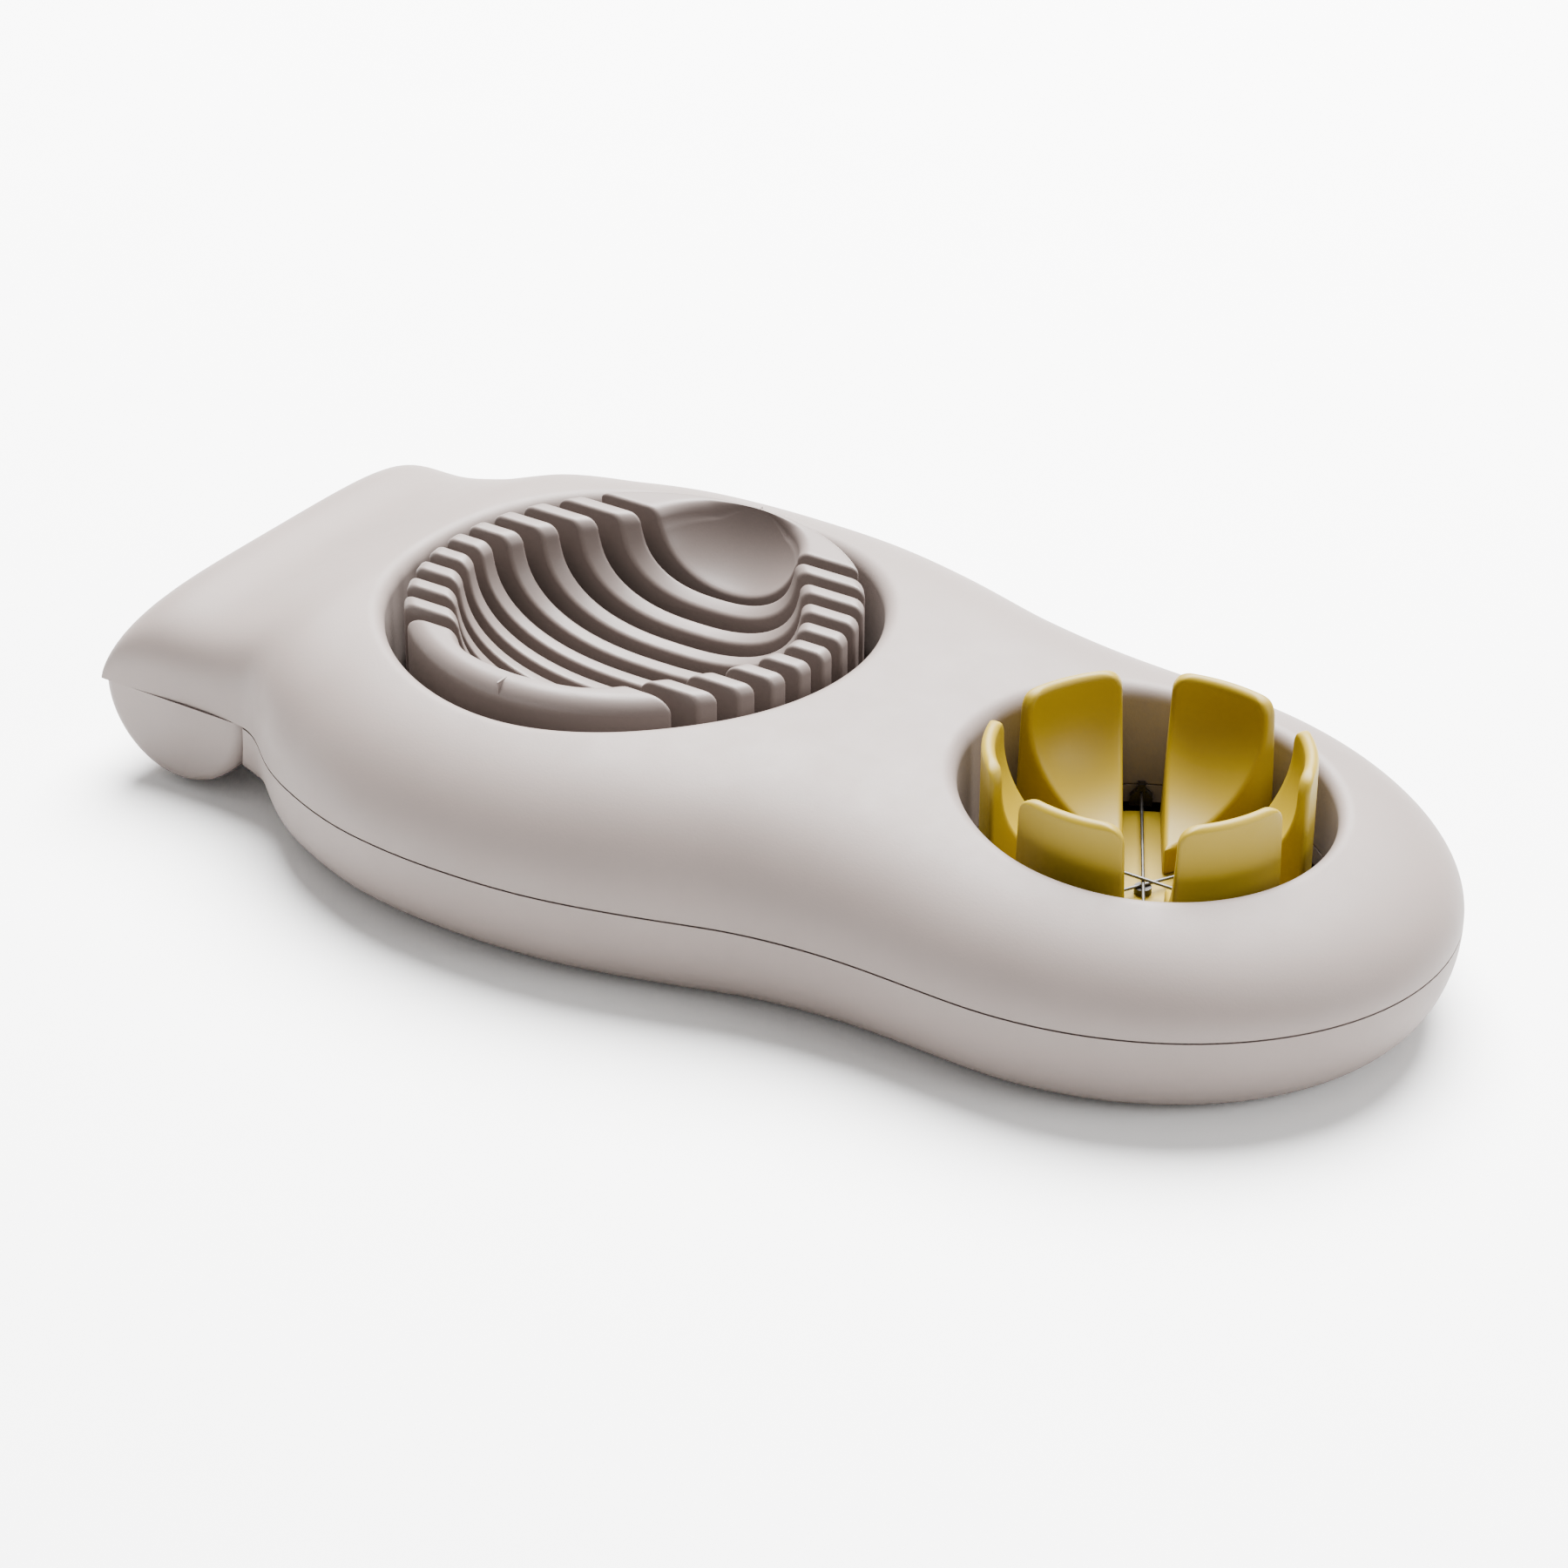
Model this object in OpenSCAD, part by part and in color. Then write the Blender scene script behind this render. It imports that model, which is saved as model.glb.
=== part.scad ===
// Egg slicer with a cradle for slices and a six-part cup for wedges.
// The object stands on z = 0, its length runs along X and its hinge lies along Y
// at the rear (-X) end. The origin is the bottom centre of its bounding box.

/* [Body outline] */
// Distance from the origin to the rear end and to the nose
half_length = 106; // [105.8:0.1:106.4]
// Half width of the hinge tail
tail_half_w = 37.6; // [37.2:0.1:38]
// Half width at the egg opening
body_half_w = 55; // [54:0.5:56]
// Half width of the nose, where its ellipse starts
nose_half_w = 44; // [43:0.5:45]
// Length of the elliptical nose
nose_len = 52; // [50:1:54]

/* [Heights] */
// Height of the seam between base and lid, and of the hinge axis
seam_z = 15; // [14.8:0.1:15.2]
// Gap between base and lid at the seam
seam_gap = 0.3; // [0.2:0.05:0.5]
// Height of the lid's crest above the seam round the egg opening
crest_rear = 18.9; // [18.5:0.1:19.2]
// Height of the lid's crest above the seam at the wedge opening
crest_front = 15.8; // [15.4:0.1:16]
// Height of the lid above the hinge axis
tail_height = 14.2; // [14:0.1:14.6]
// Wall thickness of base and lid
wall = 2.2; // [2:0.1:2.4]

/* [Egg cradle] */
// Radius of the opening over the cradle
egg_opening_r = 38; // [37.9:0.1:38.6]
// Outer radius of the cradle
cradle_r = 35; // [34.8:0.1:35]
// Height of the rib tips above the seam
rib_top = 21; // [20.5:0.1:21.4]
// Distance between neighbouring slicing wires
wire_pitch = 5.28; // [5.2:0.01:5.32]
// Thickness of one rib
rib_t = 2.6; // [2.4:0.1:2.8]

/* [Wedge cup] */
// Radius of the opening over the cup
cup_opening_r = 27.3; // [27.2:0.1:28]
// Outer radius of the cup
cup_r = 24; // [23.8:0.1:24]
// Height of the petals above the seam
petal_top = 22; // [21:0.5:22]
// Width of a slot between two petals at its floor
slot_w = 5.6; // [5.4:0.1:6]

/* [Hinge] */
// Distance from the origin back to the hinge axis
hinge_back = 92; // [91.8:0.1:92.2]
// Radius of the hinge pin
pin_r = 2; // [1.8:0.1:2.2]
// Radius of the lid's half-round barrel ends
barrel_r = 13.9; // [13.7:0.1:14]
// Radius of the base's central knuckle
knuckle_r = 10.5; // [10:0.1:10.8]

/* [Wires] */
// Diameter of the cutting wires
wire_d = 0.5; // [0.4:0.1:0.6]
// Distance of the wires below the seam
wire_drop = 0.5; // [0.5:0.1:0.8]

/* [Hidden] */

// places along the length
hinge_x = -hinge_back;
rear_x = -half_length;
egg_x = -30.5;
cup_x = 59;
nose_x = half_length - nose_len;

// levels
base_top = seam_z - seam_gap / 2;
lid_bottom = seam_z + seam_gap / 2;
plate_top = lid_bottom - 0.05;
plate_bottom = seam_z - 2.8;
wire_z = seam_z - wire_drop;
wire_r = wire_d / 2;
wire_count = 10;
seat_z = 4.5;
seat_gap = 0.1;

// colours
plastic = [0.80, 0.77, 0.75];
yellow = [0.86, 0.78, 0.12];
steel = [0.75, 0.76, 0.78];
dark = [0.22, 0.20, 0.19];

// Half widths along the length: place, half width, slope
WIDTHS = [
    [rear_x, tail_half_w, 0],
    [-78, tail_half_w, 0.15],
    [-70, tail_half_w + 5, 0.85],
    [-60, body_half_w - 6.2, 0.45],
    [-44, body_half_w - 1.1, 0.16],
    [-28, body_half_w, -0.02],
    [-12, body_half_w - 1.3, -0.17],
    [4, body_half_w - 5.2, -0.29],
    [20, nose_half_w + 1.2, -0.19],
    [36, nose_half_w - 0.4, -0.01],
    [nose_x, nose_half_w, 0]
];

// Heights of the lid's crest along the length: place, height, slope
CRESTS = [
    [rear_x, tail_height - 0.2, 0],
    [-90, tail_height, 0.05],
    [-68, crest_rear, 0.03],
    [-30, crest_rear - 0.3, 0],
    [8, crest_rear + 0.3, 0],
    [cup_x, crest_front, -0.06],
    [half_length, crest_front - 3.4, -0.055]
];

// Cubic curve through a list of [place, value, slope]
function part_of(x, list, i = 0) =
    i >= len(list) - 2 || x <= list[i + 1][0] ? i : part_of(x, list, i + 1);
function cubic(t, a, b) =
    let (h = b[0] - a[0])
    a[1] * (1 + 2 * t) * (1 - t) * (1 - t) + h * a[2] * t * (1 - t) * (1 - t)
    + b[1] * t * t * (3 - 2 * t) + h * b[2] * t * t * (t - 1);
function along(x, list) =
    let (i = part_of(x, list), a = list[i], b = list[i + 1])
    cubic((x - a[0]) / (b[0] - a[0]), a, b);
function smooth(t) = let (u = max(0, min(1, t))) u * u * (3 - 2 * u);

// Half width of the outline, moved inwards by d
function nose_part(x, d) = (x - nose_x) / (nose_len - d);
function half_w(x, d) =
    x <= nose_x ? along(x, WIDTHS) - d
    : (nose_half_w - d) * sqrt(max(0, 1 - nose_part(x, d) * nose_part(x, d)));

// How far a point lies inside the outline
function inset(x, y, d) =
    let (w = half_w(x, d), r = x <= nose_x ? w : nose_half_w - d)
    r - sqrt(max(0, r * r - w * w + y * y));

// Height of a rounded shell of full height h over a point: it falls off over the
// width s at the sides, and over the length l in front of the rear place x0
function round_off(t, n) = pow(max(0, 1 - pow(1 - min(1, max(0, t)), n)), 1 / n);
function dome(x, y, d, h, s, x0, l, n, rear_n) =
    h * round_off(inset(x, y, d) / s, n) * round_off((x - x0) / l, rear_n);

// Lid: soft sides round the body, tighter ones on the tail
lid_round = 2.3;
lid_rear_len = 12;
tail_side = 37;
tail_round = 4;
body_side = 27;
function body_part(x) = smooth((x + 84) / 28);
function lid_side(x) = tail_side + (body_side - tail_side) * body_part(x);
function lid_n(x) = tail_round + (lid_round - tail_round) * body_part(x);
function lid_h(x, y, d) =
    dome(x, y, d, along(x, CRESTS) - d, lid_side(x), rear_x + d, lid_rear_len,
        lid_n(x), lid_round);

// Base: a shallow bowl that rises towards the hinge
base_side = 9;
base_round = 2;
base_rear_x = -94.5;
base_rear_len = 32;
function base_h(x, y, d) =
    -dome(x, y, d, base_top - d, base_side, base_rear_x + d, base_rear_len,
        base_round, base_round);

// Stations along the length, closer together towards both ends
function stations(x0, x1, count) =
    [for (i = [0:count]) x0 + (x1 - x0) * (1 - cos(180 * i / count)) / 2];
// Places across one station from -1 to 1, closer together at the edges
across = 8;
function across_at(k) = let (u = k / across) sign(u) * (1 - (1 - abs(u)) * (1 - abs(u)));

// Closed solid between the level z0 and the dome over or under it
edge_h = 0.1;
tip_cut = 0.03;
module shell_solid(x0, count, d, z0, up) {
    xs = stations(x0, half_length - d - tip_cut, count);
    m = 2 * across + 1;
    function face(x, y) = up ? max(edge_h, lid_h(x, y, d)) : min(-edge_h, base_h(x, y, d));
    curved = [for (x = xs) for (k = [-across:across])
        let (y = half_w(x, d) * across_at(k)) [x, y, z0 + face(x, y)]];
    flat = [for (p = curved) [p[0], p[1], z0]];
    n = len(curved);
    function quad(a, b, c, e) = up ? [[a, b, c], [a, c, e]] : [[c, b, a], [e, c, a]];
    faces = [for (i = [0:count - 1]) for (k = [0:m - 2])
        let (a = i * m + k, b = a + 1, c = b + m, e = a + m)
        each concat(quad(a, b, c, e), quad(n + e, n + c, n + b, n + a))];
    ends = [for (k = [0:m - 2]) each concat(
        quad(k + 1, k, n + k, n + k + 1),
        quad(n - m + k, n - m + k + 1, 2 * n - m + k + 1, 2 * n - m + k))];
    sides = [for (i = [0:count - 1]) each concat(
        quad(i * m, (i + 1) * m, n + (i + 1) * m, n + i * m),
        quad((i + 2) * m - 1, (i + 1) * m - 1, n + (i + 1) * m - 1, n + (i + 2) * m - 1))];
    polyhedron(concat(curved, flat), concat(faces, ends, sides));
}

// Rod along Y between y0 and y1, centred on the hinge axis
module hinge_rod(r, y0, y1) {
    translate([hinge_x, y1, seam_z]) rotate([90, 0, 0]) cylinder(r = r, h = y1 - y0, $fn = 64);
}

// Screws: places in plan, pilot bores and clearance
screw_r = 1.25;
head_r = 2.6;
head_h = 1.5;
bore_gap = 0.05;
boss_r = 3.4;
LID_SCREWS = [[-75, -28], [-75, 28], [15, -28], [15, 28], [95, 0]];
CRADLE_SCREWS = [[egg_x + 20, 0], [egg_x - 10, 18], [egg_x - 10, -18]];
CUP_SCREWS = [[cup_x + 11, 7], [cup_x - 11, -7]];
FLOOR_SCREWS = concat(CRADLE_SCREWS, CUP_SCREWS);
sink_h = 2.2;
sink_r = head_r + 0.3;

// One screw, its head at z0 and its shank up to z1
module screw(z0, z1) {
    difference() {
        union() {
            translate([0, 0, z0]) cylinder(r = head_r, h = head_h, $fn = 48);
            translate([0, 0, z0]) cylinder(r = screw_r, h = z1 - z0, $fn = 32);
        }
        for (turn = [0, 90])
            rotate([0, 0, turn]) translate([-1.5, -0.3, z0 - 0.1]) cube([3, 0.6, 0.9]);
    }
}

// ---- Base ----
pocket_r = barrel_r + 0.4;
knuckle_half = 23.6;
barrel_inner = 24;
web_from = -15;
web_to = -52;
passage_z = plate_bottom - 0.3;
passage_half = 35.2;
passage_end = -66;

module base_outer() {
    shell_solid(base_rear_x, 30, 0, base_top, false);
}

module base_cavity() {
    difference() {
        shell_solid(base_rear_x + wall, 26, wall, base_top + 0.01, false);
        hinge_rod(pocket_r + wall, -60, 60);
        for (p = FLOOR_SCREWS)
            translate([p[0], p[1], -1]) cylinder(r = 5, h = seat_z + 1, $fn = 48);
    }
}

// Wedge of material that carries the knuckle
module knuckle_web() {
    reach = pocket_r + 1.2;
    translate([hinge_x, knuckle_half, seam_z]) rotate([90, 0, 0])
        linear_extrude(2 * knuckle_half)
            polygon([[0, 0], for (a = [web_to:(web_from - web_to) / 6:web_from])
                reach * [cos(a), sin(a)]]);
}

module base_shell() {
    color(plastic) difference() {
        union() {
            difference() {
                base_outer();
                base_cavity();
                hinge_rod(pocket_r, -60, 60);
                translate([rear_x, -passage_half, passage_z])
                    cube([passage_end - rear_x, 2 * passage_half, seam_z]);
            }
            knuckle_web();
            hinge_rod(knuckle_r, -knuckle_half, knuckle_half);
        }
        hinge_rod(pin_r + bore_gap, -knuckle_half - 1, knuckle_half + 1);
        for (p = FLOOR_SCREWS) translate([p[0], p[1], -1]) {
            cylinder(r = sink_r, h = sink_h + 1, $fn = 48);
            cylinder(r = screw_r + bore_gap, h = seat_z + 2, $fn = 32);
        }
    }
}

// ---- Egg cradle ----
foot_z = seat_z + seat_gap;
slot_floor_z = wire_z - 2;
tip_z = seam_z + rib_top;
bowl_half_l = 27.7;
bowl_depth = 15.2;
bowl_half_w = 33.5;

// Half length and depth of the bowl at a distance y from its middle; like an egg,
// it is blunter at its near (-Y) end
function bowl_x(y) = let (r = min(1, abs(y) / bowl_half_w))
    bowl_half_l * pow(1 - pow(r, y < 0 ? 1.8 : 1.4), 0.8);
function bowl_z(y) = let (r = min(1, abs(y) / bowl_half_w)) bowl_depth * pow(1 - r * r, 0.6);

// Outline of a rib at y: flat tips, a rounded shoulder and the bowl between them
bowl_steps = 14;
function bowl_points(y) = let (a = bowl_x(y), b = bowl_z(y)) [
    for (i = [-bowl_steps:bowl_steps])
        let (u = 90 * i / bowl_steps, c = cos(u), s = sin(u))
        [a * sign(s) * pow(abs(s), 0.8), tip_z - b * pow(c, 0.8)]
];
module rib(y) {
    half = sqrt(cradle_r * cradle_r - y * y) + 1;
    translate([0, y + rib_t / 2, 0]) rotate([90, 0, 0]) linear_extrude(rib_t)
        polygon(concat(
            [[half, slot_floor_z - 1], [half, tip_z]],
            [for (i = [2 * bowl_steps:-1:0]) bowl_points(y)[i]],
            [[-half, tip_z], [-half, slot_floor_z - 1]]
        ));
}

// Solid end piece with a scoop for the end of the egg: its centre lies so far
// back from the piece's face, and it is stretched along X
scoop_r = 14;
far_back = 5;
near_back = 7.5;
near_stretch = 1.25;
end_from = 5 * wire_pitch - rib_t / 2;
module end_piece(back, stretch) {
    difference() {
        translate([-cradle_r, end_from, slot_floor_z - 1])
            cube([2 * cradle_r, cradle_r, tip_z - slot_floor_z + 1]);
        translate([0, end_from - back, tip_z + 2]) scale([stretch, 1, 1])
            sphere(r = scoop_r, $fn = 64);
    }
}

module slicer_cradle() {
    color(plastic) translate([egg_x, 0, 0]) difference() {
        union() {
            translate([0, 0, foot_z]) cylinder(r = cradle_r, h = slot_floor_z - foot_z, $fn = 128);
            intersection() {
                translate([0, 0, foot_z]) cylinder(r = cradle_r, h = tip_z, $fn = 128);
                union() {
                    for (k = [-4:4]) rib(k * wire_pitch);
                    end_piece(far_back, 1);
                    rotate([0, 0, 180]) end_piece(near_back, near_stretch);
                }
            }
        }
        for (p = CRADLE_SCREWS) translate([p[0] - egg_x, p[1], foot_z - 1])
            cylinder(r = screw_r + bore_gap, h = 5.4, $fn = 32);
    }
}

module cradle_screws() {
    color(steel) for (p = CRADLE_SCREWS) translate([p[0], p[1], 0]) screw(sink_h - head_h, 8.5);
}

// ---- Wedge cup ----
cup_floor_z = wire_z - 1.9;
petal_z = seam_z + petal_top;
petal_wall = 2;
corner_r = 3;
slot_flare = 0.85;

// Half outline of the cup's inside: straight at the rim, a deep ellipse below
bowl_r = cup_r - petal_wall;
bowl_low_z = 16;
bowl_high_z = 33.4;
cup_inside = concat(
    [for (a = [0:9:90]) [bowl_r * sin(a), bowl_high_z - (bowl_high_z - bowl_low_z) * cos(a)]],
    [[bowl_r, petal_z + 1], [0, petal_z + 1]]
);

// Section of a slot: tapered sides that round off into the petals' top corners
module slot_section() {
    half = slot_w / 2;
    wide = half + slot_flare;
    level = petal_z - corner_r;
    side = concat(
        [[half, cup_floor_z]],
        [for (a = [0:16:80]) [wide + corner_r * (1 - cos(a)), level + corner_r * sin(a)]],
        [[wide + corner_r, petal_z + 0.2]]
    );
    other = [for (i = [len(side) - 1:-1:0]) [-side[i][0], side[i][1]]];
    polygon(concat(side, other));
}

module wedge_cup() {
    color(yellow) translate([cup_x, 0, 0]) difference() {
        translate([0, 0, foot_z]) cylinder(r = cup_r, h = petal_z - foot_z, $fn = 128);
        rotate_extrude($fn = 96) polygon(cup_inside);
        for (turn = [0, 60, 120]) rotate([0, 0, turn]) translate([-cup_r - 1, 0, 0])
            rotate([90, 0, 90]) linear_extrude(2 * cup_r + 2) slot_section();
        for (p = CUP_SCREWS) translate([p[0] - cup_x, p[1], foot_z - 1])
            cylinder(r = screw_r + bore_gap, h = 5.4, $fn = 32);
    }
}

module cup_screws() {
    color(steel) for (p = CUP_SCREWS) translate([p[0], p[1], 0]) screw(sink_h - head_h, 8.5);
}

// ---- Lid ----
collar = 2;
module lid_inner() {
    difference() {
        shell_solid(rear_x + wall, 30, wall, lid_bottom - 0.01, true);
        translate([egg_x, 0, 0]) cylinder(r = egg_opening_r + collar, h = 60, $fn = 128);
        translate([cup_x, 0, 0]) cylinder(r = cup_opening_r + collar, h = 60, $fn = 128);
        for (p = LID_SCREWS) translate([p[0], p[1], 0]) cylinder(r = boss_r, h = 60, $fn = 48);
    }
}

module lid_cover() {
    color(plastic) difference() {
        shell_solid(rear_x, 34, 0, lid_bottom, true);
        lid_inner();
        translate([egg_x, 0, 0]) cylinder(r = egg_opening_r, h = 60, $fn = 128);
        translate([cup_x, 0, 0]) cylinder(r = cup_opening_r, h = 60, $fn = 128);
        for (p = LID_SCREWS) translate([p[0], p[1], lid_bottom - 1])
            cylinder(r = screw_r + bore_gap, h = 8, $fn = 32);
    }
}

module lid_screws() {
    screw_z = plate_bottom + 0.3;
    color(steel) for (p = LID_SCREWS) translate([p[0], p[1], 0]) screw(screw_z, lid_bottom + 6);
}

// ---- Wire frame ----
frame_inset = 3.5;
frame_rear = hinge_x;
knuckle_gap_x = hinge_x + pocket_r + wall + 0.5;
barrel_end = tail_half_w - 0.2;
wire_bore_r = wire_r + 0.05;
peg_r = 0.9;
anchor = 4;
wedge_reach = 25.8;

// Where a slicing wire ends, measured from the middle of its opening
function wire_half(y) = sqrt(egg_opening_r * egg_opening_r - y * y) + anchor;
function wire_y(i) = (i - (wire_count + 1) / 2) * wire_pitch;

module frame_outline() {
    xs = stations(frame_rear, half_length - frame_inset - 0.5, 48);
    near = [for (x = xs) [x, -half_w(x, frame_inset)]];
    far = [for (i = [len(xs) - 1:-1:0]) [xs[i], half_w(xs[i], frame_inset)]];
    polygon(concat(near, far));
}

module barrel_half() {
    difference() {
        hinge_rod(barrel_r, barrel_inner, barrel_end);
        translate([hinge_x - 20, 0, plate_top]) cube([40, 60, 20]);
    }
}

module wire_frame() {
    color(plastic) difference() {
        union() {
            difference() {
                translate([0, 0, plate_bottom]) linear_extrude(plate_top - plate_bottom)
                    frame_outline();
                translate([hinge_x - 20, -barrel_inner, 0])
                    cube([knuckle_gap_x - hinge_x + 20, 2 * barrel_inner, 30]);
            }
            barrel_half();
            mirror([0, 1, 0]) barrel_half();
        }
        translate([egg_x, 0, 0]) cylinder(r = egg_opening_r, h = 40, $fn = 128);
        translate([cup_x, 0, 0]) cylinder(r = cup_opening_r, h = 40, $fn = 128);
        hinge_rod(pin_r + 0.02, -pin_half - 0.1, pin_half + 0.1);
        for (p = LID_SCREWS) translate([p[0], p[1], 0]) {
            cylinder(r = sink_r, h = plate_bottom + 0.35 + head_h, $fn = 48);
            cylinder(r = screw_r + bore_gap, h = 40, $fn = 32);
        }
        for (i = [1:wire_count]) translate([egg_x, wire_y(i), 0]) {
            translate([-wire_half(wire_y(i)), 0, wire_z]) rotate([0, 90, 0])
                cylinder(r = wire_bore_r, h = 2 * wire_half(wire_y(i)), $fn = 16);
            for (side = [-1, 1]) translate([side * wire_half(wire_y(i)), 0, 0])
                cylinder(r = peg_r + bore_gap, h = 40, $fn = 24);
        }
        for (turn = [0:60:300]) translate([cup_x, 0, wire_z]) rotate([0, 0, turn])
            translate([cup_opening_r - 1, 0, 0]) rotate([0, 90, 0])
                cylinder(r = stem_r + bore_gap, h = 5, $fn = 24);
    }
}

// ---- Hinge pin ----
pin_half = 34;
module hinge_pin() {
    color(steel) hinge_rod(pin_r, -pin_half, pin_half);
}

// ---- Wires and what holds them ----
module slicer_wire(i) {
    reach = wire_half(wire_y(i)) - peg_r - bore_gap;
    color(steel) translate([egg_x - reach, wire_y(i), wire_z]) rotate([0, 90, 0])
        cylinder(r = wire_r, h = 2 * reach, $fn = 16);
}

module slicer_wire_pegs() {
    color(steel) for (i = [1:wire_count]) for (side = [-1, 1])
        translate([egg_x + side * wire_half(wire_y(i)), wire_y(i), plate_bottom])
            cylinder(r = peg_r, h = plate_top - plate_bottom - 0.05, $fn = 24);
}

// The three wedge wires cross on top of each other
module wedge_wire(i) {
    color(steel) translate([cup_x, 0, wire_z + (i - 2) * wire_d]) rotate([0, 0, 60 * i])
        translate([-wedge_reach, 0, 0]) rotate([0, 90, 0])
            cylinder(r = wire_r, h = 2 * wedge_reach, $fn = 16);
}

// Dark bead under the crossing
hub_h = 0.9;
module wire_hub() {
    hub_top = wire_z - 1.5 * wire_d - 0.02;
    color(dark) translate([cup_x, 0, hub_top - hub_h]) cylinder(r = 1.3, h = hub_h, $fn = 32);
}

// Lugs that hold the ends of the wedge wires
stem_r = 0.45;
lug_w = 3.4;
lug_t = 1.3;
module wedge_wire_lugs() {
    color(dark) for (turn = [0:60:300]) translate([cup_x, 0, 0]) rotate([0, 0, turn]) {
        translate([wedge_reach, 0, plate_bottom + 0.1]) rotate([90, 0, 90])
            linear_extrude(lug_t)
                polygon([[-lug_w / 2, 0], [lug_w / 2, 0], [lug_w / 2, 1.6], [0.6, 2.6],
                    [0.6, 3.6], [-0.6, 3.6], [-0.6, 2.6], [-lug_w / 2, 1.6]]);
        translate([wedge_reach + 1, 0, wire_z]) rotate([0, 90, 0])
            cylinder(r = stem_r, h = cup_opening_r - wedge_reach + 2.5, $fn = 24);
    }
}

base_shell();
slicer_cradle();
wedge_cup();
cradle_screws();
cup_screws();
lid_cover();
wire_frame();
hinge_pin();
lid_screws();
for (i = [1:wire_count])
    slicer_wire(i);
slicer_wire_pegs();
for (i = [1:3])
    wedge_wire(i);
wire_hub();
wedge_wire_lugs();
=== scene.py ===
import math

import bmesh
import bpy
from mathutils import Matrix, Vector


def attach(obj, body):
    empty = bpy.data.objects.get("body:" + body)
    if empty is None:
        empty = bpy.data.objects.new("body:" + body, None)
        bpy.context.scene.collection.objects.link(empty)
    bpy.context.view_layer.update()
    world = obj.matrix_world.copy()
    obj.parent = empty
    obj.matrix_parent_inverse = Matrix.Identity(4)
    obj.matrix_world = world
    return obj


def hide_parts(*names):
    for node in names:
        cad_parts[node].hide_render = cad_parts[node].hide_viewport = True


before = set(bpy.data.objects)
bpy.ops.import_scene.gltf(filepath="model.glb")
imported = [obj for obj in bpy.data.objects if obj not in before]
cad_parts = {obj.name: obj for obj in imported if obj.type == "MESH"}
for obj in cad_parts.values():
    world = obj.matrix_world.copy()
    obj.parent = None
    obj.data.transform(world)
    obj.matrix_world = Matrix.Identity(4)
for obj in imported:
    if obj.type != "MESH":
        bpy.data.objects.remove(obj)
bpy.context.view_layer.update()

# The egg slicer's looks. Lengths are in millimetres until add_piece() turns them into metres,
# and the shapes follow the same dimensions as the CAD model.
MM = 0.001

# body outline and heights
REAR_X, NOSE_TIP = -106.0, 106.0
NOSE_X, NOSE_HALF_W = 54.0, 44.0
NOSE_LEN = NOSE_TIP - NOSE_X
TAIL_HALF_W, BODY_HALF_W = 37.6, 55.0
SEAM_Z, SEAM_GAP = 15.0, 0.3
BASE_TOP, LID_BOTTOM = SEAM_Z - SEAM_GAP / 2, SEAM_Z + SEAM_GAP / 2
CREST_REAR, CREST_FRONT, TAIL_HEIGHT = 18.9, 15.8, 14.2
WALL = 2.2

# the faces round off over a distance from the side (SIDE) and from the rear (REAR_LEN), with
# a power of the curve (ROUND); the tail turns into the body over BLEND_LEN from TAIL_END_X
TAIL_SIDE, BODY_SIDE, TAIL_ROUND, LID_ROUND, LID_REAR_LEN = 37.0, 27.0, 4.0, 2.3, 12.0
TAIL_END_X, BLEND_LEN = -84.0, 28.0
BASE_REAR_X, BASE_REAR_LEN, BASE_SIDE, BASE_ROUND = -94.5, 32.0, 9.0, 2.0

# openings, cradle and cup
EGG_X, EGG_OPENING_R, CRADLE_R = -30.5, 38.0, 35.0
CUP_X, CUP_OPENING_R, CUP_R = 59.0, 27.3, 24.0
EGG_STEPS, CUP_STEPS = 110, 90
TIP_Z = SEAM_Z + 21
PETAL_Z = SEAM_Z + 22
WIRE_Z = SEAM_Z - 0.5
SLOT_FLOOR_Z = WIRE_Z - 2
CUP_FLOOR_Z = WIRE_Z - 1.9
FOOT_Z = 4.6
RIB_PITCH, RIB_T = 5.28, 2.6

# hinge
HINGE_X, BARREL_R = -92.0, 13.9
POCKET_R, KNUCKLE_R, KNUCKLE_HALF = BARREL_R + 0.4, 10.5, 23.6
PASSAGE_Z, PASSAGE_HALF = SEAM_Z - 3.1, 35.2

# place along the length, half width, slope
WIDTHS = [
    (REAR_X, TAIL_HALF_W, 0),
    (-78, TAIL_HALF_W, 0.15),
    (-70, TAIL_HALF_W + 5, 0.85),
    (-60, BODY_HALF_W - 6.2, 0.45),
    (-44, BODY_HALF_W - 1.1, 0.16),
    (-28, BODY_HALF_W, -0.02),
    (-12, BODY_HALF_W - 1.3, -0.17),
    (4, BODY_HALF_W - 5.2, -0.29),
    (20, NOSE_HALF_W + 1.2, -0.19),
    (36, NOSE_HALF_W - 0.4, -0.01),
    (NOSE_X, NOSE_HALF_W, 0),
]
# place along the length, crest height above the seam, slope
CRESTS = [
    (REAR_X, TAIL_HEIGHT - 0.2, 0),
    (-90, TAIL_HEIGHT, 0.05),
    (-68, CREST_REAR, 0.03),
    (-30, CREST_REAR - 0.3, 0),
    (8, CREST_REAR + 0.3, 0),
    (CUP_X, CREST_FRONT, -0.06),
    (NOSE_TIP, CREST_FRONT - 3.4, -0.055),
]


# ---- Shape of the shells ----
def along(x, table):
    """Cubic curve through a table of (place, value, slope)."""
    i = 0
    while i < len(table) - 2 and x > table[i + 1][0]:
        i += 1
    (x0, y0, s0), (x1, y1, s1) = table[i], table[i + 1]
    h = x1 - x0
    t = (x - x0) / h
    keep, new = (1 - t) ** 2, t * t
    return (
        y0 * (1 + 2 * t) * keep + h * s0 * t * keep + y1 * new * (3 - 2 * t) + h * s1 * new * (t - 1)
    )


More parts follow.
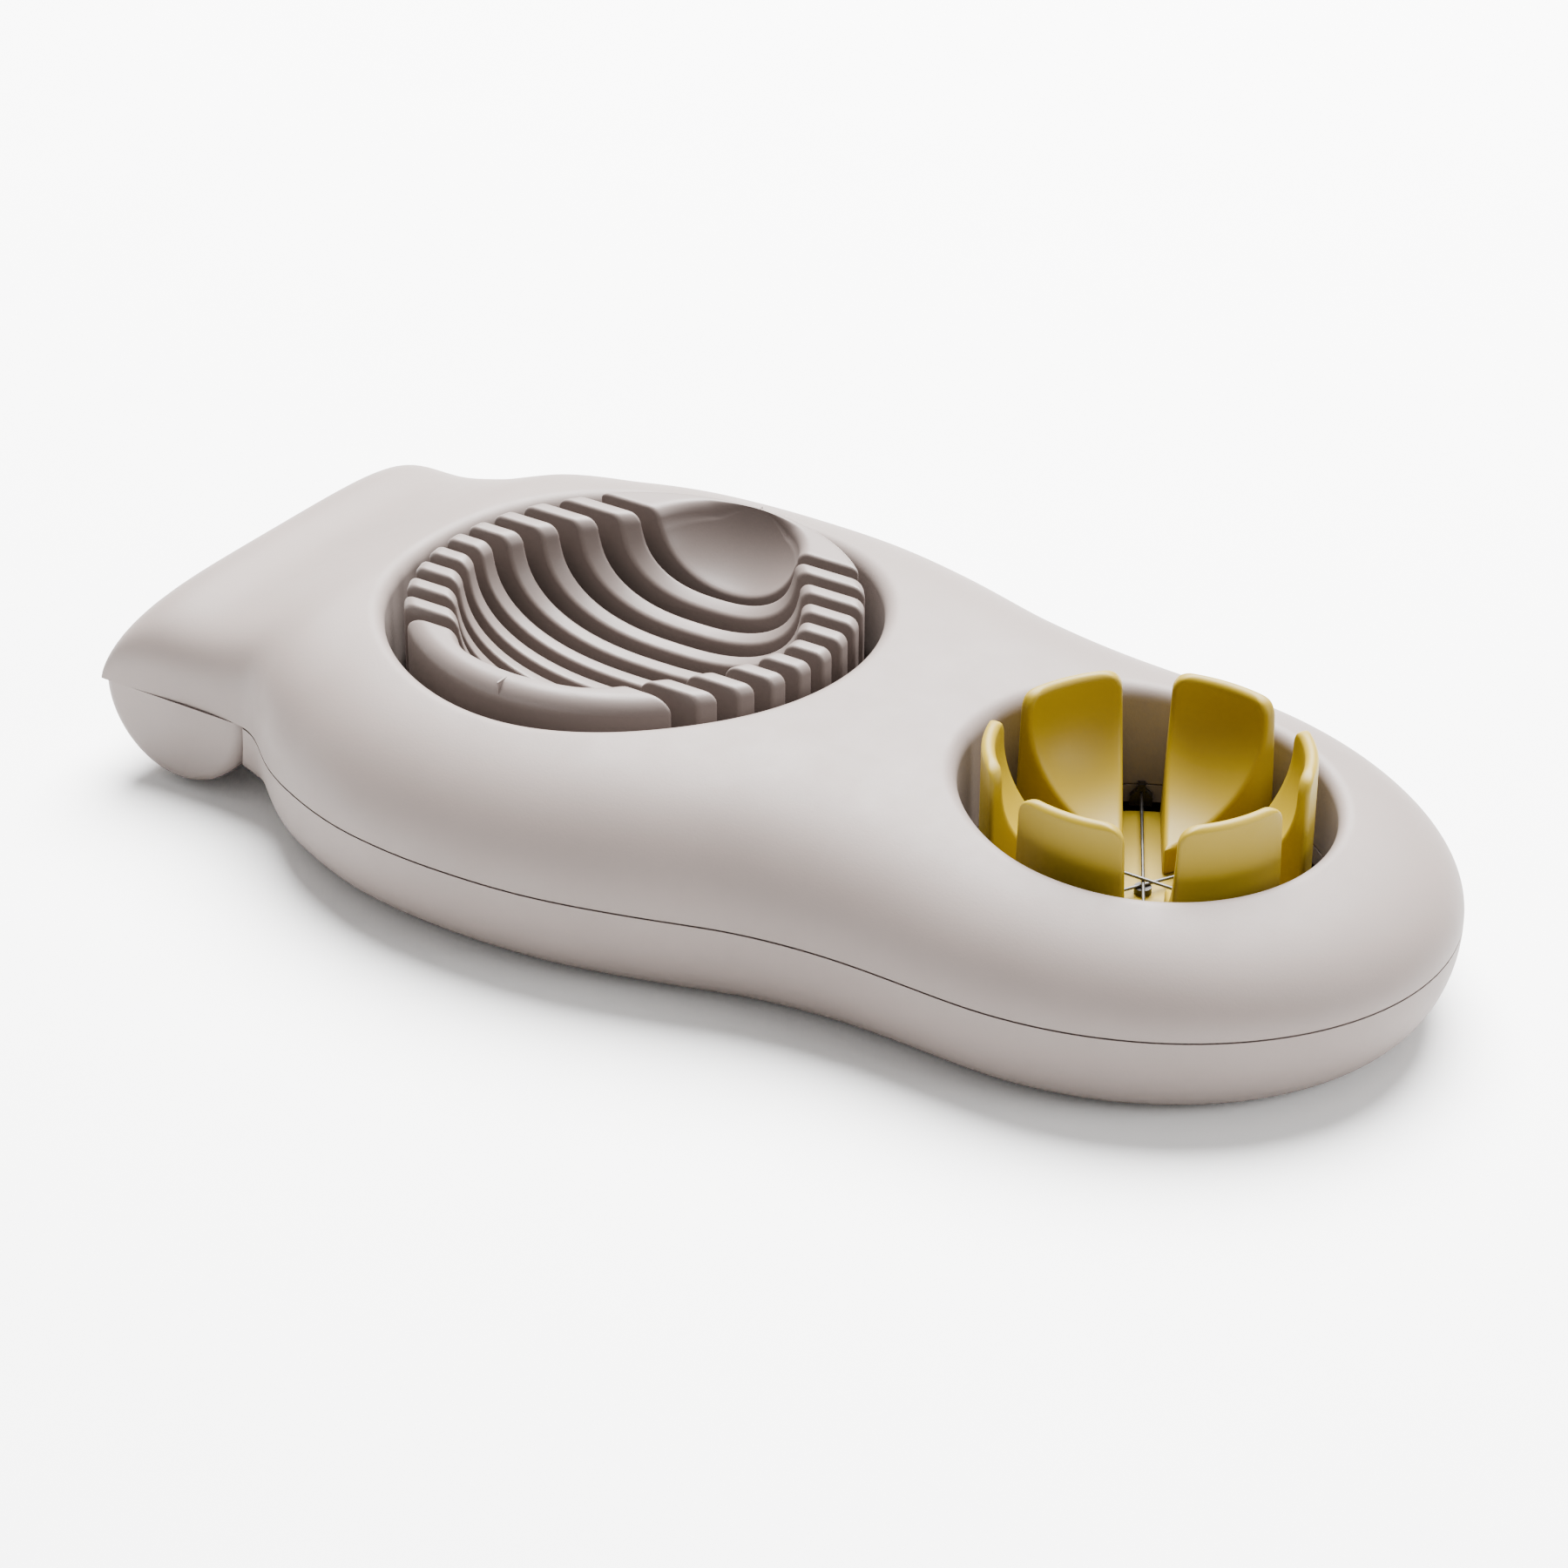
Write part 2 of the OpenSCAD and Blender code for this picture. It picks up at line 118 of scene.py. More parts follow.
def smooth(t):
    """Eases from 0 to 1 as t goes from 0 to 1."""
    t = max(0.0, min(1.0, t))
    return t * t * (3 - 2 * t)


def half_w(x, d=0.0):
    """Half width of the outline moved inwards by d."""
    if x <= NOSE_X:
        return along(x, WIDTHS) - d
    part = (x - NOSE_X) / (NOSE_LEN - d)
    return (NOSE_HALF_W - d) * math.sqrt(max(0.0, 1 - part * part))


def inset(x, y, d):
    """How far a point lies inside the outline."""
    w = half_w(x, d)
    r = w if x <= NOSE_X else NOSE_HALF_W - d
    return r - math.sqrt(max(0.0, r * r - w * w + y * y))


def round_off(t, n):
    """Rises from 0 at an edge (t = 0) to 1 (t = 1) as a quarter of a superellipse."""
    t = max(0.0, min(1.0, t))
    return max(0.0, 1 - (1 - t) ** n) ** (1 / n)


def lid_z(x, y, d=0.0):
    """Height of the lid's outer face (d = 0) or inner face: crowned tail, soft-sided body."""
    part = smooth((x - TAIL_END_X) / BLEND_LEN)
    side = TAIL_SIDE + (BODY_SIDE - TAIL_SIDE) * part
    n = TAIL_ROUND + (LID_ROUND - TAIL_ROUND) * part
    sides = round_off(inset(x, y, d) / side, n)
    rear = round_off((x - REAR_X - d) / LID_REAR_LEN, LID_ROUND)
    return LID_BOTTOM + (along(x, CRESTS) - d) * sides * rear


def base_z(x, y, d=0.0):
    """Height of the base's outer face (d = 0) or inner face."""
    sides = round_off(inset(x, y, d) / BASE_SIDE, BASE_ROUND)
    rear = round_off((x - BASE_REAR_X - d) / BASE_REAR_LEN, BASE_ROUND)
    return BASE_TOP - (BASE_TOP - d) * sides * rear


# ---- Mesh building ----
def spread(a, b, count, ends="both"):
    """count + 1 places from a to b, closer together at both ends, at the last one, or even."""
    law = {
        "both": lambda u: (1 - math.cos(math.pi * u)) / 2,
        "last": lambda u: math.sin(math.pi * u / 2),
        "first": lambda u: 1 - math.cos(math.pi * u / 2),
        "even": lambda u: u,
    }[ends]
    return [a + (b - a) * law(i / count) for i in range(count + 1)]


class Shape:
    """Points and faces collected row by row."""

    def __init__(self):
        self.points = []
        self.faces = []

    def row(self, points):
        start = len(self.points)
        self.points.extend(points)
        return list(range(start, len(self.points)))

    def bridge(self, a, b, closed=False):
        n = len(a)
        for i in range(n if closed else n - 1):
            j = (i + 1) % n
            self.faces.append((a[i], a[j], b[j], b[i]))

    def loft(self, rows, closed=False):
        for a, b in zip(rows, rows[1:]):
            self.bridge(a, b, closed)

    def cap(self, row):
        self.faces.append(tuple(row))


def mesh_of(shape, name, weld):
    """Mesh in metres with its faces turned outwards; weld joins the points that coincide."""
    mesh = bpy.data.meshes.new(name)
    mesh.from_pydata([[c * MM for c in p] for p in shape.points], [], shape.faces)
    bm = bmesh.new()
    bm.from_mesh(mesh)
    if weld:
        bmesh.ops.remove_doubles(bm, verts=bm.verts, dist=1e-6)
        bmesh.ops.dissolve_degenerate(bm, edges=bm.edges, dist=1e-7)
    bmesh.ops.recalc_face_normals(bm, faces=bm.faces)
    bm.to_mesh(mesh)
    bm.free()
    return mesh


def add_piece(shape, name, material, body, node, angle=32.0):
    """Turns a shape into a piece that rides on a body in place of a CAD node."""
    mesh = mesh_of(shape, name, weld=True)
    mesh.shade_smooth()
    mesh.set_sharp_from_angle(angle=math.radians(angle))
    mesh.materials.append(material)
    piece = bpy.data.objects.new(name, mesh)
    bpy.context.scene.collection.objects.link(piece)
    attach(piece, body)
    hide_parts(node)


def turn(shape, profile, cx, cy, steps=96, axis="z"):
    """Closed lathe of a profile of (radius, height) round an upright axis, or one along Y."""
    rows = []
    for i in range(steps):
        a = 2 * math.pi * i / steps
        if axis == "z":
            points = [(cx + r * math.cos(a), cy + r * math.sin(a), h) for r, h in profile]
        else:
            points = [(cx + r * math.cos(a), h, cy + r * math.sin(a)) for r, h in profile]
        rows.append(shape.row(points))
    shape.loft(rows + [rows[0]])


def disc_profile(radius, low, high, edge=0.5):
    """Solid disc with rounded edges."""
    corner = [math.radians(a) for a in range(0, 91, 15)]
    lower = [(radius - edge + edge * math.sin(a), low + edge - edge * math.cos(a)) for a in corner]
    upper = [(radius - edge + edge * math.cos(a), high - edge + edge * math.sin(a)) for a in corner]
    return [(0.0, low)] + lower + upper + [(0.0, high)]


def shrink(loop, by):
    """A closed loop of (u, v) points moved inwards."""
    if by <= 0:
        return loop
    n = len(loop)
    area = sum(loop[i - 1][0] * loop[i][1] - loop[i][0] * loop[i - 1][1] for i in range(n))
    side = 1 if area > 0 else -1
    out = []
    for i, (u, v) in enumerate(loop):
        (u0, v0), (u1, v1) = loop[i - 1], loop[(i + 1) % n]
        e0 = Vector((u - u0, v - v0)).normalized()
        e1 = Vector((u1 - u, v1 - v)).normalized()
        t = (e0 + e1).normalized() if (e0 + e1).length > 1e-6 else e0
        out.append((u - side * t.y * by, v + side * t.x * by))
    return out


def edge_rows(radius, steps=4):
    """(distance from the face, inset) pairs that round an edge."""
    angles = [math.pi / 2 * i / steps for i in range(steps + 1)]
    return [(radius * (1 - math.cos(a)), radius * (1 - math.sin(a))) for a in angles]


# ---- Materials ----
def nodes_of(name):
    """A new material, its nodes and its shader."""
    material = bpy.data.materials.new(name)
    material.use_nodes = True
    tree = material.node_tree
    return material, tree, tree.nodes["Principled BSDF"]


def noise(tree, scale, detail=2.0, roughness=0.5):
    """Noise that stays fixed to the piece."""
    where = tree.nodes.new("ShaderNodeTexCoord")
    node = tree.nodes.new("ShaderNodeTexNoise")
    node.inputs["Scale"].default_value = scale
    node.inputs["Detail"].default_value = detail
    node.inputs["Roughness"].default_value = roughness
    tree.links.new(where.outputs["Object"], node.inputs["Vector"])
    return node


def ramp(tree, source, low, high, start=0.3, end=0.7):
    """Colours between low and high, for values of the source from start to end."""
    node = tree.nodes.new("ShaderNodeValToRGB")
    node.color_ramp.elements[0].position = start
    node.color_ramp.elements[1].position = end
    node.color_ramp.elements[0].color = (*low, 1)
    node.color_ramp.elements[1].color = (*high, 1)
    tree.links.new(source, node.inputs["Fac"])
    return node


def bump(tree, source, strength, distance, before=None):
    node = tree.nodes.new("ShaderNodeBump")
    node.inputs["Strength"].default_value = strength
    node.inputs["Distance"].default_value = distance
    tree.links.new(source, node.inputs["Height"])
    if before:
        tree.links.new(before.outputs["Normal"], node.inputs["Normal"])
    return node


def shade(colour, factor):
    return tuple(min(1.0, c * factor) for c in colour)


def plastic(name, colour, roughness, grain, spread_of_colour=0.03, coat=0.0, scatter=0.0):
    """Moulded plastic: faint clouds in the colour, fine spark-eroded grain and uneven gloss."""
    material, tree, shader = nodes_of(name)
    clouds = noise(tree, 55.0, 3.0)
    dark, pale = shade(colour, 1 - spread_of_colour), shade(colour, 1 + spread_of_colour)
    tint = ramp(tree, clouds.outputs["Fac"], dark, pale)
    tree.links.new(tint.outputs["Color"], shader.inputs["Base Color"])
    smears = noise(tree, 140.0, 4.0, 0.6)
    gloss = ramp(tree, smears.outputs["Fac"], (roughness * 0.92,) * 3, (roughness * 1.08,) * 3)
    tree.links.new(gloss.outputs["Color"], shader.inputs["Roughness"])
    fine = noise(tree, 2600.0, 2.0, 0.6)
    coarse = noise(tree, 260.0, 2.0)
    first = bump(tree, coarse.outputs["Fac"], 0.15, 0.00004)
    second = bump(tree, fine.outputs["Fac"], grain, 0.00006, first)
    tree.links.new(second.outputs["Normal"], shader.inputs["Normal"])
    shader.inputs["IOR"].default_value = 1.5
    shader.inputs["Specular IOR Level"].default_value = 0.3
    shader.inputs["Coat Weight"].default_value = coat
    shader.inputs["Coat Roughness"].default_value = 0.12
    shader.inputs["Subsurface Weight"].default_value = scatter
    shader.inputs["Subsurface Radius"].default_value = (0.004, 0.003, 0.001)
    shader.inputs["Subsurface Scale"].default_value = 0.3
    return material


def metal(name, colour, roughness, stretch):
    """Drawn or turned steel with fine lines along one direction."""
    material, tree, shader = nodes_of(name)
    where = tree.nodes.new("ShaderNodeTexCoord")
    scale = tree.nodes.new("ShaderNodeMapping")
    scale.inputs["Scale"].default_value = stretch
    lines = tree.nodes.new("ShaderNodeTexNoise")
    lines.inputs["Scale"].default_value = 900.0
    lines.inputs["Detail"].default_value = 3.0
    tree.links.new(where.outputs["Object"], scale.inputs["Vector"])
    tree.links.new(scale.outputs["Vector"], lines.inputs["Vector"])
    tint = ramp(tree, lines.outputs["Fac"], shade(colour, 0.88), shade(colour, 1.08))
    tree.links.new(tint.outputs["Color"], shader.inputs["Base Color"])
    gloss = ramp(tree, lines.outputs["Fac"], (roughness * 0.8,) * 3, (roughness * 1.25,) * 3)
    tree.links.new(gloss.outputs["Color"], shader.inputs["Roughness"])
    marks = bump(tree, lines.outputs["Fac"], 0.1, 0.00001)
    tree.links.new(marks.outputs["Normal"], shader.inputs["Normal"])
    shader.inputs["Metallic"].default_value = 1.0
    return material


SHELL = plastic("shell_plastic", (0.18, 0.147, 0.133), 0.55, 0.3)
CRADLE = plastic("cradle_plastic", (0.14, 0.112, 0.101), 0.46, 0.1, 0.02)
CUP = plastic("cup_plastic", (0.235, 0.16, 0.0), 0.5, 0.03, 0.03, 0.0, 0.02)
# Near-black plastic. On the wire lugs it is painted shade, since they sit in the lid's shadow; the
# wire hub is drawn near-black too.
DARK_AND_PAINTED_SHADE = plastic("dark_plastic", (0.02, 0.017, 0.015), 0.4, 0.1)
# Steel wire whose colour sits far below bright steel: painted shade, standing in for the dark inside
# of the lid that the wires reflect.
WIRE_PAINTED_DARK = metal("wire_steel_painted_dark", (0.10, 0.098, 0.095), 0.4, (1, 1, 1))
SCREW = metal("screw_steel", (0.5, 0.51, 0.53), 0.35, (1, 1, 6))


# ---- Lid ----
def columns(r_egg, r_cup, d, start):
    """(x, inner y, outer y) of one half of the plan, from the rear to the nose."""
    out = [(x, 0.0) for x in spread(start, EGG_X - r_egg, 44)[:-1]]
    for cx, r, steps in ((EGG_X, r_egg, EGG_STEPS), (CUP_X, r_cup, CUP_STEPS)):
        for i in range(steps + 1):
            a = math.pi * (1 - i / steps)
            out.append((cx + r * math.cos(a), max(0.0, r * math.sin(a))))
        if cx == EGG_X:
            out += [(x, 0.0) for x in spread(EGG_X + r, CUP_X - r_cup, 14, "even")[1:-1]]
    out += [(x, 0.0) for x in spread(CUP_X + r_cup, NOSE_TIP - d, 34, "last")[1:]]
    return [(x, y, max(y, half_w(x, d))) for x, y in out]


def plan_surface(shape, cols, height, rows=38):
    """Grid over both halves of the plan; returns the edge rows of each half."""
    edges = []
    for side in (1, -1):
        grid = []
        for x, y0, y1 in cols:
            ys = spread(y0, y1, rows, "last")
            grid.append(shape.row([(x, side * y, height(x, y)) for y in ys]))
        shape.loft(grid)
        edges.append({"seam": [r[-1] for r in grid], "rear": grid[0]})
    return edges


def ring(shape, cx, r, steps, height):
    """Row of points round an opening, each at the height given for its place."""
    points = []
    for i in range(2 * steps):
        a = math.pi * (1 - i / steps)
        x, y = cx + r * math.cos(a), r * math.sin(a)
        points.append((x, y, height(x, y)))
    return shape.row(points)


LIP_ROLL, COLLAR, LIP_STEPS = 2.5, 2.0, 12


def opening_wall(shape, cx, r, steps):
    """An opening's rolled lip, straight wall, lower edge and back up to the inner face."""
    rings = []
    for drop, out in edge_rows(LIP_ROLL, LIP_STEPS):
        rings.append(ring(shape, cx, r + out, steps, lambda x, y, d=drop: lid_z(x, y) - d))
    for part in (0.35, 0.7, 0.98):
        rings.append(ring(shape, cx, r, steps, lambda x, y, part=part: (
            lid_z(x, y) - LIP_ROLL) * (1 - part) + LID_BOTTOM * part))
    rings.append(ring(shape, cx, r + 0.2, steps, lambda x, y: LID_BOTTOM))
    rings.append(ring(shape, cx, r + COLLAR, steps, lambda x, y: LID_BOTTOM))
    rings.append(ring(shape, cx, r + COLLAR, steps, lambda x, y: lid_z(x, y, WALL)))
    shape.loft(rings, closed=True)


def build_lid():
    shape = Shape()
    outer_cols = columns(EGG_OPENING_R + LIP_ROLL, CUP_OPENING_R + LIP_ROLL, 0, REAR_X)
    outer = plan_surface(shape, outer_cols, lid_z)
    inner_cols = columns(EGG_OPENING_R + COLLAR, CUP_OPENING_R + COLLAR, WALL, REAR_X + WALL)
    inner = plan_surface(shape, inner_cols, lambda x, y: lid_z(x, y, WALL), 22)
    for a, b in zip(outer, inner):
        shape.bridge(a["seam"], b["seam"])
        shape.bridge([a["rear"][0], a["rear"][-1]], [b["rear"][0], b["rear"][-1]])
    opening_wall(shape, EGG_X, EGG_OPENING_R, EGG_STEPS)
    opening_wall(shape, CUP_X, CUP_OPENING_R, CUP_STEPS)
    add_piece(shape, "lid_cover_skin", SHELL, "lid", "lid_cover")


# ---- Base ----
SCREW_POSTS = [(EGG_X + 20, 0), (EGG_X - 10, 18), (EGG_X - 10, -18), (CUP_X + 11, 7), (CUP_X - 11, -7)]
POST_R, POST_TOP = 5.0, 4.5
NECK_X = -60


def base_rows():
    """Places across the base from -1 to 1, doubled where the wire frame passes."""
    step = PASSAGE_HALF / TAIL_HALF_W
    half = sorted(spread(0.0, 1.0, 34, "last") + [step - 0.002, step + 0.002])
    return [-c for c in reversed(half[1:])] + half


def pocket_x(z, r):
    """Front of the round pocket round the hinge, at a height."""
    return HINGE_X + math.sqrt(max(0.0, r * r - (z - SEAM_Z) ** 2))


def start_x(c, d, r):
    """Where the shell's surface comes out of the pocket round the hinge."""
    low, high = BASE_REAR_X + d, HINGE_X + r
    for _ in range(40):
        x = (low + high) / 2
        wall = SEAM_Z - math.sqrt(max(0.0, r * r - (x - HINGE_X) ** 2))
        if base_z(x, c * half_w(x, d), d) > wall:
            low = x
        else:
            high = x
    return high


def base_side_surface(shape, d, r):
    """Grid of the base's outer face (d = 0) or inner face, rows along the length."""
    rows, starts = [], []
    for c in base_rows():
        x0 = start_x(c, d, r)
        xs = spread(x0, NECK_X, 16, "even") + spread(NECK_X, NOSE_X, 44, "even")[1:]
        xs += spread(NOSE_X, NOSE_TIP - d, 34, "last")[1:]
        points = [(x, c * half_w(x, d), base_z(x, c * half_w(x, d), d)) for x in xs]
        rows.append(shape.row(points))
        starts.append(points[0])
    shape.loft(rows)
    return rows, starts


def build_base():
    shape = Shape()
    outer, outer_starts = base_side_surface(shape, 0.0, POCKET_R)
    inner, inner_starts = base_side_surface(shape, WALL, POCKET_R + WALL)
    shape.bridge(outer[0], inner[0])
    shape.bridge(outer[-1], inner[-1])
    arcs = []
    for c, low, high in zip(base_rows(), outer_starts, inner_starts):
        passes = abs(c) * TAIL_HALF_W < PASSAGE_HALF
        top = max(PASSAGE_Z if passes else BASE_TOP, low[2])
        up = [(pocket_x(z, POCKET_R), low[1], z) for z in spread(low[2], top, 9, "even")]
        down = [(pocket_x(z, POCKET_R + WALL), high[1], z)
                for z in spread(max(top, high[2]), high[2], 5, "even")]
        arcs.append(shape.row(up + down))
    shape.loft(arcs)
    knuckle = disc_profile(KNUCKLE_R, -KNUCKLE_HALF, KNUCKLE_HALF, 0.8)
    turn(shape, knuckle, HINGE_X, SEAM_Z, 128, axis="y")
    build_web(shape)
    for x, y in SCREW_POSTS:
        turn(shape, disc_profile(POST_R, WALL - 0.2, POST_TOP, 0.4), x, y, 48)
    add_piece(shape, "base_skin", SHELL, "base", "base_shell")


def build_web(shape):
    """Wedge of material that joins the knuckle to the base."""
    reach = POCKET_R + 0.6
    angles = spread(math.radians(-52), math.radians(-15), 10, "even")
    arc = [(HINGE_X + reach * math.cos(a), SEAM_Z + reach * math.sin(a)) for a in angles]
    loop = [(HINGE_X, SEAM_Z)] + arc
    end = KNUCKLE_HALF - 0.4
    rows = [shape.row([(x, y, z) for x, z in loop]) for y in (-end, end)]
    shape.loft(rows, closed=True)
    shape.cap(rows[0])
    shape.cap(rows[1])


# ---- Egg cradle ----
BOWL_HALF_L, BOWL_DEPTH, BOWL_HALF_W = 27.7, 15.2, 33.5
END_FROM = 5 * RIB_PITCH - RIB_T / 2
SCOOP_R, SCOOP_LIFT = 14.0, 2.0
FAR_BACK, NEAR_BACK, NEAR_STRETCH = 5.0, 7.5, 1.25
RIB_EDGE, FAR_EDGE, NEAR_EDGE, RIB_CORNER, SHOULDER_R = 1.7, 0.9, 2.6, 0.55, 2.3
BOWL_SQUARE, SCOOP_SQUARE = 2.5, 2.1


def bowl(y):
    """Half length, depth and squareness of the bowl at y; its near end is the blunt one."""
    r = min(1.0, abs(y) / BOWL_HALF_W)
    taper = 1.8 if y < 0 else 1.4
    return BOWL_HALF_L * (1 - r**taper) ** 0.8, BOWL_DEPTH * (1 - r * r) ** 0.6, BOWL_SQUARE


def scoop(y):
    """The same for the scoop in an end piece, part of a ball that is wider at the near end."""
    back, stretch = (NEAR_BACK, NEAR_STRETCH) if y < 0 else (FAR_BACK, 1.0)
    r = math.sqrt(max(SCOOP_LIFT**2 + 0.01, SCOOP_R**2 - (abs(y) - END_FROM + back) ** 2))
    return stretch * math.sqrt(r * r - SCOOP_LIFT**2), r - SCOOP_LIFT, SCOOP_SQUARE


def top_drop(x, y, edge):
    """How far the rounded outer edge lies below the tips."""
    d = CRADLE_R - math.hypot(x, y)
    return 0.0 if d >= edge else edge - math.sqrt(max(0.0, edge * edge - (edge - d) ** 2))


def cradle_loop(y, hollow, edge):
    """Outline of the cradle at y as (x, z): wall, tip, shoulder, bowl, and back down."""
    half = math.sqrt(max(0.01, CRADLE_R**2 - y * y))
    a, b, n = hollow(y)
    turn_r = min(SHOULDER_R, 0.45 * b, 0.4 * max(0.02, half - a))
    right = [(half, z) for z in spread(SLOT_FLOOR_Z, TIP_Z - edge, 5, "even")]
    plateau = spread(half, min(a + turn_r, half - 0.01), 12, "first")[1:]
    right += [(x, TIP_Z - top_drop(x, y, edge)) for x in plateau]
    for i in range(1, 8):
        t = math.pi / 2 * i / 7
        x = a + turn_r * (1 - math.sin(t))
        right.append((x, TIP_Z - turn_r * (1 - math.cos(t)) - top_drop(x, y, edge)))
    first = math.acos(min(1.0, (turn_r / b) ** (n / 2)))
    dish = []
    for u in spread(first, -first, 34, "even")[1:-1]:
        s, c = math.sin(u), math.cos(u)
        x = a * math.copysign(abs(s) ** (2 / n), s)
        dish.append((x, TIP_Z - b * c ** (2 / n)))
    left = [(-x, z) for x, z in reversed(right)]
    return right + dish + left


def slab(shape, rows):
    """Closed solid from loops (y, [(x, z)]) that stand side by side."""
    made = [shape.row([(EGG_X + x, y, z) for x, z in loop]) for y, loop in rows]
    shape.loft(made, closed=True)
    shape.cap(made[0])
    shape.cap(made[-1])


def build_cradle():
    """Foot disc, nine ribs and two end pieces."""
    shape = Shape()
    turn(shape, disc_profile(CRADLE_R, FOOT_Z, SLOT_FLOOR_Z, 0.3), EGG_X, 0, 180)
    rounding = edge_rows(RIB_CORNER)
    for k in range(-4, 5):
        middle = k * RIB_PITCH
        rows = [(middle - RIB_T / 2 + d, e) for d, e in rounding]
        rows += [(middle + RIB_T / 2 - d, e) for d, e in reversed(rounding)]
        slab(shape, [(y, shrink(cradle_loop(y, bowl, RIB_EDGE), e)) for y, e in rows])
    for side, edge, back in ((1, FAR_EDGE, FAR_BACK), (-1, NEAR_EDGE, NEAR_BACK)):
        rows = [(END_FROM + d, e) for d, e in rounding[:-1]]
        rim = math.sqrt(SCOOP_R**2 - SCOOP_LIFT**2)
        first = math.asin((back + rounding[-1][0]) / rim)
        turns = spread(first, math.pi / 2, 26, "even")
        rows += [(END_FROM - back + rim * math.sin(a), 0.0) for a in turns]
        rows += [(y, 0.0) for y in spread(rows[-1][0] + 0.05, CRADLE_R - 0.02, 14, "last")]
        slab(shape, [(side * y, shrink(cradle_loop(side * y, scoop, edge), e)) for y, e in rows])
    add_piece(shape, "slicer_cradle_skin", CRADLE, "base", "slicer_cradle", 40)


# ---- Wedge cup ----
SLOT_W, SLOT_FLARE, CORNER_R = 5.6, 0.85, 3.0
BOWL_LOW_Z, BOWL_HIGH_Z, BOWL_R = 16.0, 33.4, 22.0
PETAL_COUNT, PETAL_FOOT_R, PETAL_EDGE, PETAL_STEPS = 6, 6.2, 0.7, 16


def slot_half(z):
    """Half width of a slot at a height."""
    level = PETAL_Z - CORNER_R
    part = min(1.0, (z - CUP_FLOOR_Z) / (level - CUP_FLOOR_Z))
    lift = max(0.0, min(1.0, (z - level) / CORNER_R))
    return SLOT_W / 2 + SLOT_FLARE * part + CORNER_R * (1 - math.sqrt(1 - lift * lift))


def petal_path():
    """Section of a petal as (radius, z): up the outside, over the rim, down the inside."""
    count = 26
    rim = (CUP_R + BOWL_R) / 2
    thick = (CUP_R - BOWL_R) / 2
    outside = [(CUP_R, z) for z in spread(CUP_FLOOR_Z, PETAL_Z - thick, count, "last")]
    over = []
    for i in range(1, 14):
        a = math.pi * i / 14
        over.append((rim + thick * math.cos(a), PETAL_Z - thick + thick * math.sin(a)))
    inside = [(BOWL_R, z) for z in spread(PETAL_Z - thick, BOWL_HIGH_Z, 6, "even")]
    low = math.asin(PETAL_FOOT_R / BOWL_R)
    for a in spread(math.pi / 2, low, count - 7, "even")[1:]:
        depth = (BOWL_HIGH_Z - BOWL_LOW_Z) * math.cos(a)
        inside.append((BOWL_R * math.sin(a), BOWL_HIGH_Z - depth))
    inside.append((PETAL_FOOT_R, CUP_FLOOR_Z))
    return outside + over + inside


def petal_row(path, by, side, share, middle):
    """One row of a petal: inset by (distance from the slot, inset), share of the half width."""
    distance, shrunk = by
    points = []
    for r, z in shrink(path, shrunk):
        reach = math.pi / PETAL_COUNT - math.asin(min(1.0, (slot_half(z) + distance) / r))
        a = middle + side * share * max(0.0, reach)
        points.append((CUP_X + r * math.cos(a), r * math.sin(a), z))
    return points


def build_cup():
    """Foot disc and six petals."""
    shape = Shape()
    turn(shape, disc_profile(CUP_R, FOOT_Z, CUP_FLOOR_Z, 0.3), CUP_X, 0, 144)
    path = petal_path()
    rounding = edge_rows(PETAL_EDGE)
    for k in range(PETAL_COUNT):
        middle = 2 * math.pi * (k + 0.5) / PETAL_COUNT
        rows = [petal_row(path, by, -1, 1, middle) for by in rounding]
        shares = spread(1.0, -1.0, PETAL_STEPS, "even")[1:-1]
        rows += [petal_row(path, rounding[-1], -1, share, middle) for share in shares]
        rows += [petal_row(path, by, 1, 1, middle) for by in reversed(rounding)]
        made = [shape.row(r) for r in rows]
        shape.loft(made, closed=True)
        for end in (made[0], made[-1]):
            half = len(end) // 2
            shape.bridge(end[:half], list(reversed(end))[:half])
            if len(end) % 2:
                shape.faces.append((end[half - 1], end[half], end[half + 1]))
    add_piece(shape, "wedge_cup_skin", CUP, "base", "wedge_cup", 50)


# ---- Wire frame ----
PLATE_TOP, PLATE_BOTTOM, FRAME_INSET = LID_BOTTOM - 0.05, SEAM_Z - 2.8, 3.5
BARREL_INNER, BARREL_END = 24.0, TAIL_HALF_W - 0.2
LID_SCREWS = [(-75, -28), (-75, 28), (15, -28), (15, 28), (95, 0)]
SINK_R, SINK_DEPTH, WIRE_COUNT, ANCHOR = 2.9, 1.85, 10, 4.0
PLATE_EDGE, BARREL_CORNER, BARREL_ROUND, PEG_R = 0.3, 0.6, 2.0, 0.9


def block(loop, low, high):
    """Closed upright prism over a plan outline."""
    shape = Shape()
    rows = [shape.row([(x, y, z) for x, y in loop]) for z in (low, high)]
    shape.loft(rows, closed=True)
    shape.cap(rows[0])
    shape.cap(rows[1])
    return shape


def plain_object(shape, name):
    """Object for cutting with, not a piece."""
    thing = bpy.data.objects.new(name, mesh_of(shape, name, weld=False))
    bpy.context.scene.collection.objects.link(thing)
    return thing


def circle(cx, cy, r, steps):
    turns = [2 * math.pi * i / steps for i in range(steps)]
    return [(cx + r * math.cos(a), cy + r * math.sin(a)) for a in turns]


